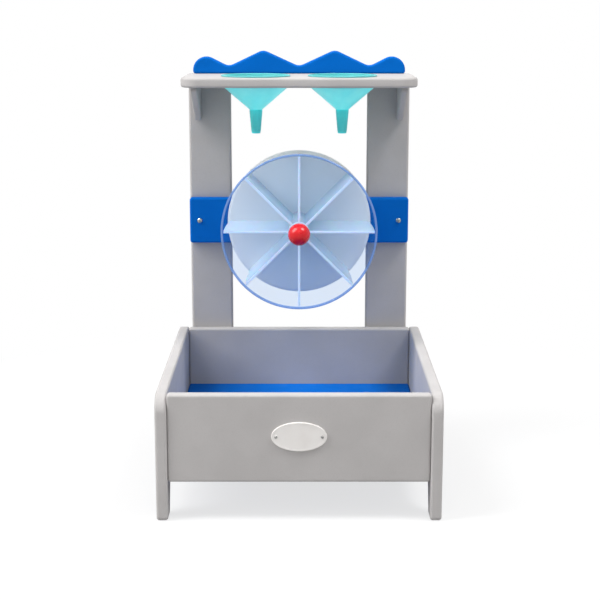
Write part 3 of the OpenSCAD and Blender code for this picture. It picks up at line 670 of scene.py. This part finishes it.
# The wall's corners, radius, height and rounding: round the rim, down the inside, and up the outside
FUNNEL_WALL = [
    (59.0, RIM_Z, 0.5), (59.0, RIM_TOP_Z, 0.8), (55.0, RIM_TOP_Z, 1.2), (53.6, 642.5, 2.0), (9.4, 604.8, 2.0),
    (5.4, FUNNEL_TIP_Z, 0.4), (STEM_TIP_R, FUNNEL_TIP_Z, 0.4), (STEM_TOP_R, STEM_TOP_Z, 0.3), (11.9, 604.4, 0.6),
    (56.0, 642.2, 2.0), (56.0, RIM_Z, 0.6),
]
RIB_MIDDLE_Z = 584.0
RIB = {
    "Count": 12, "Width": 0.9 * MM, "Height": 36.0 * MM, "Radius": 9.15 * MM,
    "Taper": math.atan((STEM_TOP_R - STEM_TIP_R) / (STEM_TOP_Z - FUNNEL_TIP_Z)),
}


def rib_tree():
    """One rib stands off the stem's wall and leans in with its taper"""
    tree, given = start_tree("stem_ribs", RIB)
    size = add(tree, "ShaderNodeCombineXYZ", {"X": given["Width"], "Y": given["Width"], "Z": given["Height"]})
    block = add(tree, "GeometryNodeMeshCube", {"Size": size, "Vertices X": 3, "Vertices Y": 3, "Vertices Z": 9})
    rib = add(tree, "GeometryNodeTransform", {
        "Geometry": block, "Rotation": add(tree, "ShaderNodeCombineXYZ", {"Y": given["Taper"]}),
        "Translation": add(tree, "ShaderNodeCombineXYZ", {"X": given["Radius"]})})
    end_in_circle(tree, given, rib, "Z", TURQUOISE)
    return tree


STEM_RIBS = rib_tree()
for side, body in ((-1, "funnel_left"), (1, "funnel_right")):
    x = side * FUNNEL_X
    funnel = turned(body + "_moulded", softened(FUNNEL_WALL, 5), (x, FUNNEL_Y, 0), "Z", 128)
    make_piece(body + "_moulded", funnel, body, TURQUOISE, [body], sharp=40.0)
    grow(body + "_stem_ribs", STEM_RIBS, [(x, FUNNEL_Y, RIB_MIDDLE_Z)], RIB, body, TURQUOISE,
         edge_mm=0.15)


# ---- Oval plate: bare, with a rounded edge and a low raised rim

PLATE_HALF_W = 42.75
PLATE_HALF_H = 23.0
PLATE_TURNS = [2 * math.pi * k / 96 for k in range(96)]
# How far each ring lies inside the outline and stands off the panel
PLATE_LEVELS = [
    (0.0, 0.0), (0.0, 2.2), (0.12, 2.6), (0.45, 2.9), (0.9, PLATE_T), (2.2, PLATE_T), (2.6, 2.96), (3.0, 2.85),
    (3.3, 2.84), (12.0, 2.84),
]
plate_rings = [
    [((PLATE_HALF_W - inset) * math.cos(a), PANEL_FRONT_Y - out, PLATE_Z + (PLATE_HALF_H - inset) * math.sin(a))
     for a in PLATE_TURNS]
    for inset, out in PLATE_LEVELS
]
make_piece("oval_plate_moulded", layered("oval_plate_moulded", plate_rings), "frame", PLATE,
           ["oval_plate"], sharp=50.0)


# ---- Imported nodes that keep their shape

for material, nodes in (
    (STEEL, ("axle", "thrust_washer_front", "thrust_washer_rear", "rear_washer", "lock_nut", "shelf_screws")),
    (NYLON, ("bush_front", "bush_rear", "spacer_tube")),
):
    for node in nodes:
        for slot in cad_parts[node].material_slots:
            slot.material = material


# ---- Camera, light, floor

# The camera looks down by this many degrees, and the lamps look at the toy's middle
LOOK_DOWN = 12.04
TOY_MIDDLE = Vector((0, 0, 0.35))

lens = bpy.data.cameras.new("camera")
lens.sensor_width = 36.0
lens.lens = 82.28
lens.shift_x = 0.0015
camera = put("camera", lens)
camera.location = (0.0, -2.2399, 0.7746)
camera.rotation_euler = (math.radians(90 - LOOK_DOWN), 0.0, 0.0)
bpy.context.scene.camera = camera
bpy.context.scene.view_settings.view_transform = "Standard"


def soft_box(name, azimuth, elevation, distance, size, power):
    """A square lamp that looks at the middle of the toy. Azimuth 0 is in front."""
    lamp = bpy.data.lights.new(name, "AREA")
    lamp.shape = "SQUARE"
    lamp.size = size
    lamp.energy = power
    a, e = math.radians(azimuth), math.radians(elevation)
    away = Vector((math.sin(a) * math.cos(e), -math.cos(a) * math.cos(e), math.sin(e)))
    holder = put(name, lamp)
    holder.location = TOY_MIDDLE + away * distance
    holder.rotation_euler = away.to_track_quat("Z", "Y").to_euler()


# High boxes at both sides and a lower one on the left shape the boards. A wide weak one in front and the white
# room around fill their faces.
soft_box("key_left", azimuth=-70.0, elevation=58.0, distance=6.0, size=2.0, power=150.0)
soft_box("key_right", azimuth=70.0, elevation=58.0, distance=6.0, size=2.0, power=200.0)
soft_box("side_left", azimuth=-78.0, elevation=36.0, distance=6.0, size=2.4, power=192.0)
soft_box("front_high", azimuth=0.0, elevation=42.0, distance=6.8, size=4.0, power=26.0)


def white_room():
    """The room around. Seen straight or through the plastic it's white. Glossy surfaces reflect the white
    backdrop behind the toy, and the dimmer room in front of it."""
    world = bpy.data.worlds.new("studio")
    bpy.context.scene.world = world
    tree = empty_tree(world)
    ray = add(tree, "ShaderNodeLightPath").outputs
    view = add(tree, "ShaderNodeTexCoord").outputs["Generated"]
    backward = add(tree, "ShaderNodeSeparateXYZ", {"Vector": view}).outputs["Y"]
    backdrop = add(tree, "ShaderNodeMapRange", {
        "Value": backward, "From Min": -0.2, "From Max": 0.5, "To Min": 0.25, "To Max": 1.0})
    mirrored_share = add(tree, "ShaderNodeMath", {0: ray["Is Glossy Ray"], 1: backdrop}, operation="MULTIPLY")
    seen = add(tree, "ShaderNodeMath", {
        0: ray["Is Camera Ray"], 1: ray["Is Transmission Ray"]}, operation="ADD")
    white = add(tree, "ShaderNodeMath", {0: seen, 1: mirrored_share}, operation="ADD")
    level = add(tree, "ShaderNodeMapRange", {"Value": white, "To Min": 0.60, "To Max": 1.0})
    sky = add(tree, "ShaderNodeBackground", {"Color": linear("#FFFFFF"), "Strength": level})
    add(tree, "ShaderNodeOutputWorld", {"Surface": sky})


def white_floor():
    """Plain white floor: it keeps a soft shadow near the toy and fades to plain white away from it"""
    reach, low = 12.0, -0.0005
    corners = [(-reach, -reach, low), (reach, -reach, low), (reach, reach, low), (-reach, reach, low)]
    mesh = bpy.data.meshes.new("floor")
    mesh.from_pydata(corners, [], [(0, 1, 2, 3)])
    paint = bpy.data.materials.new("studio_floor_white")
    tree = empty_tree(paint)
    ray = add(tree, "ShaderNodeLightPath").outputs
    place = add(tree, "ShaderNodeTexCoord").outputs["Object"]
    distance = add(tree, "ShaderNodeVectorMath", {0: place}, operation="LENGTH").outputs["Value"]
    fade = add(tree, "ShaderNodeMapRange", {
        "Value": distance, "From Min": 0.35, "From Max": 1.0, "To Min": 0.7, "To Max": 1.0})
    straight = add(tree, "ShaderNodeMath", {
        0: ray["Is Camera Ray"], 1: ray["Is Transmission Ray"]}, operation="ADD")
    seen = add(tree, "ShaderNodeMath", {0: ray["Is Glossy Ray"], 1: 0.3, 2: straight}, operation="MULTIPLY_ADD")
    seen_once = add(tree, "ShaderNodeMath", {0: seen, 1: 1.0}, operation="MINIMUM")
    share = add(tree, "ShaderNodeMath", {0: fade, 1: seen_once}, operation="MULTIPLY")
    tone = add(tree, "ShaderNodeMix", {
        "Factor": ray["Is Camera Ray"], MIX_A: linear("#A8A8A8"), MIX_B: linear("#E6E6E6")}, data_type="RGBA")
    matt = add(tree, "ShaderNodeBsdfDiffuse", {"Color": tone.outputs[MIXED]})
    glow = add(tree, "ShaderNodeEmission", {"Color": linear("#FFFFFF"), "Strength": 1.0})
    surface = add(tree, "ShaderNodeMixShader", {0: share, 1: matt, 2: glow})
    add(tree, "ShaderNodeOutputMaterial", {"Surface": surface})
    mesh.materials.append(paint)
    floor = put("floor", mesh)


white_room()
white_floor()
